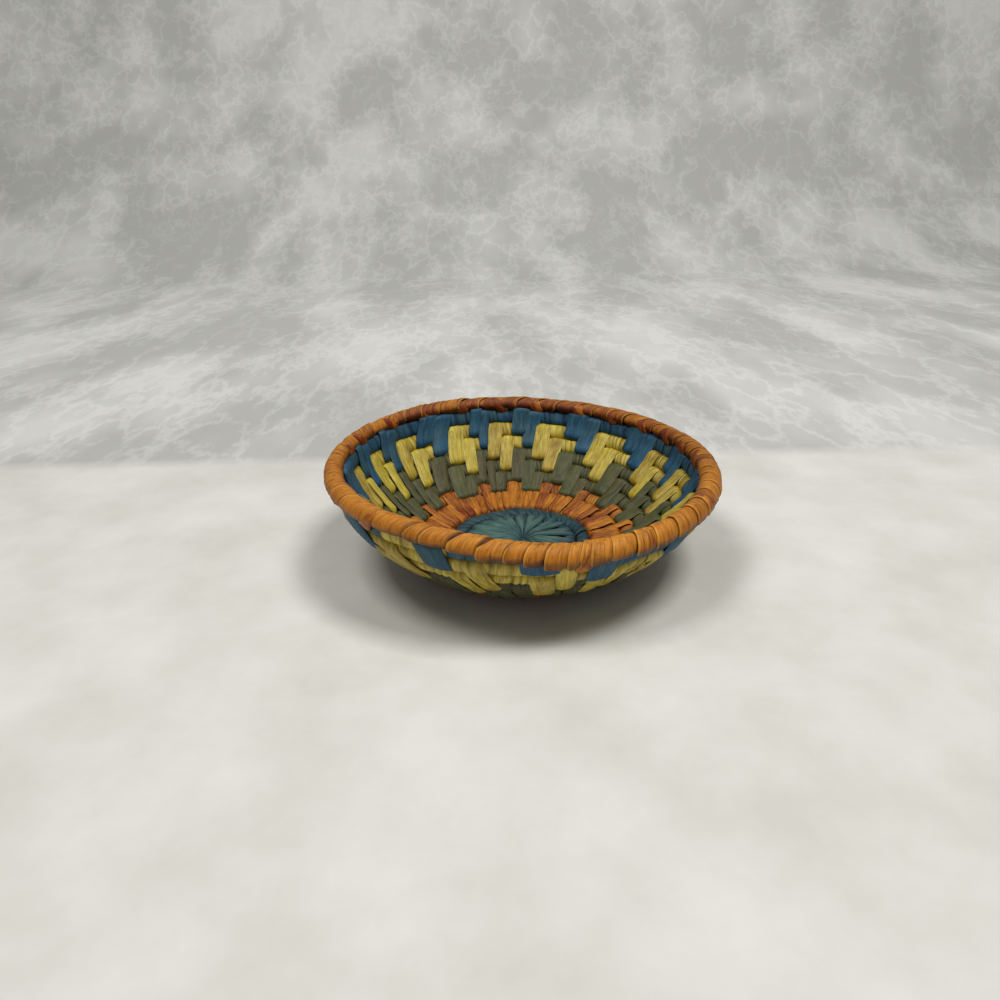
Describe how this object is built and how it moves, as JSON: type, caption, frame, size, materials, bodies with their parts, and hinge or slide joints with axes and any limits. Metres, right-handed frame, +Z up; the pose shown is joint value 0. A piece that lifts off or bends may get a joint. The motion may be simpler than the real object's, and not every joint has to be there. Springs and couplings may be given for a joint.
{
  "type": "coiled basket bowl",
  "caption": "Small shallow coiled basket bowl sewn in dyed flat splints, with colour bands, a radial-stitched flat centre and a thick overcast rim, for holding small dry things.",
  "frame": {"origin": "middle of the flat underside of the centre, where the bowl rests", "axes": "+Z up through the open mouth, +X to the picture's right, +Y away from the picture's viewer"},
  "size_m": [0.1282, 0.1264, 0.0385],
  "materials": {
    "foundation_grass": "dry loose grass bundle, matte",
    "teal_splint": "dyed flat palm splint, fine lengthwise fibres, low sheen",
    "orange_splint": "dyed flat palm splint, streaked golden to rust, low sheen",
    "grey_green_splint": "dyed flat palm splint, grey-green, low sheen",
    "yellow_splint": "dyed flat palm splint, straw yellow with green tints, low sheen",
    "blue_splint": "dyed flat palm splint, deep blue, low sheen",
    "rim_splint": "broad dyed palm splint, golden orange to rust, satin"
  },
  "bodies": {
    "root": {"blue_splint_1": "blue_splint", "blue_splint_2": "blue_splint", "centre_knot_and_petals": "teal_splint", "foundation_coil": "foundation_grass", "grey_green_splint_1": "grey_green_splint", "grey_green_splint_2": "grey_green_splint", "grey_green_splint_3": "grey_green_splint", "grey_green_splint_4": "grey_green_splint", "grey_green_splint_5": "grey_green_splint", "grey_green_splint_6": "grey_green_splint", "orange_splint_1": "orange_splint", "orange_splint_2": "orange_splint", "orange_splint_3": "orange_splint", "orange_splint_4": "orange_splint", "orange_splint_5": "orange_splint", "orange_splint_6": "orange_splint", "rim_splint_1": "rim_splint", "rim_splint_2": "rim_splint", "rim_splint_3": "rim_splint", "teal_border_splint": "teal_splint", "teal_disc_splint": "teal_splint", "yellow_splint_1": "yellow_splint", "yellow_splint_2": "yellow_splint", "yellow_splint_3": "yellow_splint", "yellow_splint_4": "yellow_splint"}
  },
  "joints": []
}
